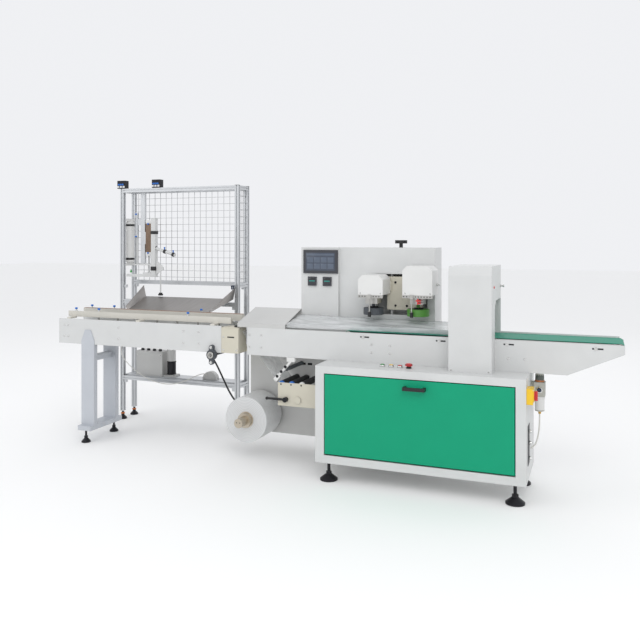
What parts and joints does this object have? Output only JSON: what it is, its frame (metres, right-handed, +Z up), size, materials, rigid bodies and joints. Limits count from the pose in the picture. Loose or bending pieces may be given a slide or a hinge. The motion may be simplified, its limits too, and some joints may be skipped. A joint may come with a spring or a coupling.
{
  "type": "horizontal flow wrapper",
  "caption": "Horizontal flow wrapper with lug-chain infeed, pick-and-place feeder frame, film reel, sealing heads, end sealer and discharge belt.",
  "frame": {"origin": "on the floor, under the middle of the machine's outline", "axes": "+X along the product flow, +Y to the back of the machine, +Z up"},
  "size_m": [3.58, 1.0079, 1.806],
  "materials": {
    "white_paint": "semi-gloss",
    "grey_paint": "semi-gloss",
    "blue_grey_paint": "semi-gloss",
    "green_paint": "semi-gloss",
    "cream_paint": "satin",
    "black_plastic": "matte",
    "white_plastic": "gloss",
    "green_belt": "matte",
    "green_urethane": "matte",
    "steel": "brushed",
    "stainless": "brushed",
    "dark_cast": "painted",
    "aluminium": "anodised",
    "film": "clear",
    "film_roll": "translucent",
    "yellow_plastic": "gloss",
    "red_plastic": "gloss",
    "filter_metal": "satin",
    "black_rubber": "matte",
    "hose": "matte"
  },
  "bodies": {
    "root": {"air_filter": "filter_metal", "air_hose": "hose", "air_receiver": "white_plastic", "base_cabinet": "white_paint", "belt_rollers": "steel", "control_cabinet": "white_paint", "drain_hose": "black_rubber", "end_sealer_housing": "white_paint", "end_sealer_jaws": "steel", "feeder_column": "aluminium", "film_sensor_bracket": "white_plastic", "film_tube": "film", "film_web": "film", "forming_table": "grey_paint", "guard_beams": "aluminium", "guard_mesh": "steel", "guard_posts": "aluminium", "infeed_chain": "steel", "infeed_drive": "dark_cast", "infeed_plates": "white_paint", "infeed_power_cable": "black_rubber", "infeed_rails": "aluminium", "infeed_stand": "blue_grey_paint", "lane_belts": "green_belt", "machine_feet": "black_plastic", "main_plates": "white_paint", "operator_panels": "black_plastic", "outfeed_plates": "white_paint", "product_tray": "stainless", "push_buttons": "black_plastic", "rear_wall": "grey_paint", "roller_bracket": "cream_paint", "shelf_units": "grey_paint", "slim_feet": "black_plastic", "switch_box": "yellow_plastic", "transfer_box": "cream_paint", "valve_boxes": "steel", "wall_fittings": "dark_cast"},
    "base_door": {"base_door": "green_paint", "door_handle": "black_plastic"},
    "head_carriage": {"carriage_plate": "cream_paint", "head_cover_a": "white_paint", "head_fittings_a": "steel", "head_cover_b": "white_paint", "head_fittings_b": "steel"},
    "height_knob": {"height_knob": "black_plastic"},
    "seal_wheel_a": {"seal_wheel_a": "dark_cast"},
    "seal_wheel_b": {"seal_wheel_b": "green_urethane"},
    "film_reel": {"film_roll": "film_roll", "reel_shaft": "steel"},
    "idler_roller_1": {"idler_roller_1": "black_rubber"},
    "idler_roller_2": {"idler_roller_2": "black_rubber"},
    "idler_roller_3": {"idler_roller_3": "white_plastic"},
    "tension_lever": {"tension_lever": "black_plastic"},
    "switch_knob": {"switch_knob": "red_plastic"},
    "pick_head": {"pick_head": "white_paint"}
  },
  "joints": [
    {"name": "base_door_hinge", "type": "hinge", "parent": "root", "child": "base_door", "pos_m": [0.753, -0.457, 0.167], "axis": [1, 0, 0], "range_deg": [0, 90]},
    {"name": "head_height", "type": "slide", "parent": "root", "child": "head_carriage", "axis": [0, 0, 1], "range_m": [0, 0.03]},
    {"name": "height_knob_turn", "type": "hinge", "parent": "root", "child": "height_knob", "pos_m": [0.549, 0.022, 1.3], "axis": [0, 0, 1], "range_deg": [0, 1800]},
    {"name": "seal_wheel_a_spin", "type": "hinge", "parent": "head_carriage", "child": "seal_wheel_a", "pos_m": [0.411, -0.095, 0.93], "axis": [0, 0, 1], "continuous": true},
    {"name": "seal_wheel_b_spin", "type": "hinge", "parent": "head_carriage", "child": "seal_wheel_b", "pos_m": [0.683, -0.095, 0.93], "axis": [0, 0, 1], "continuous": true},
    {"name": "film_reel_spin", "type": "hinge", "parent": "root", "child": "film_reel", "pos_m": [-0.356, -0.154, 0.251], "axis": [0, 1, 0], "continuous": true},
    {"name": "idler_1_spin", "type": "hinge", "parent": "root", "child": "idler_roller_1", "pos_m": [-0.12, -0.136, 0.487], "axis": [0, 1, 0], "continuous": true},
    {"name": "idler_2_spin", "type": "hinge", "parent": "root", "child": "idler_roller_2", "pos_m": [-0.054, -0.136, 0.487], "axis": [0, 1, 0], "continuous": true},
    {"name": "idler_3_spin", "type": "hinge", "parent": "root", "child": "idler_roller_3", "pos_m": [0.012, -0.136, 0.487], "axis": [0, 1, 0], "continuous": true},
    {"name": "tension_lever_turn", "type": "hinge", "parent": "root", "child": "tension_lever", "pos_m": [-0.086, -0.265, 0.398], "axis": [0, 1, 0], "range_deg": [-40, 40]},
    {"name": "main_switch_turn", "type": "hinge", "parent": "root", "child": "switch_knob", "pos_m": [1.365, -0.415, 0.5635], "axis": [1, 0, 0], "range_deg": [0, 90]},
    {"name": "pick_head_lift", "type": "slide", "parent": "root", "child": "pick_head", "axis": [0, 0, 1], "range_m": [0, 0.12]}
  ],
  "couplings": [
    {"joint": "height_knob_turn", "follows": "head_height", "rad_per_m": 1047.2}
  ]
}
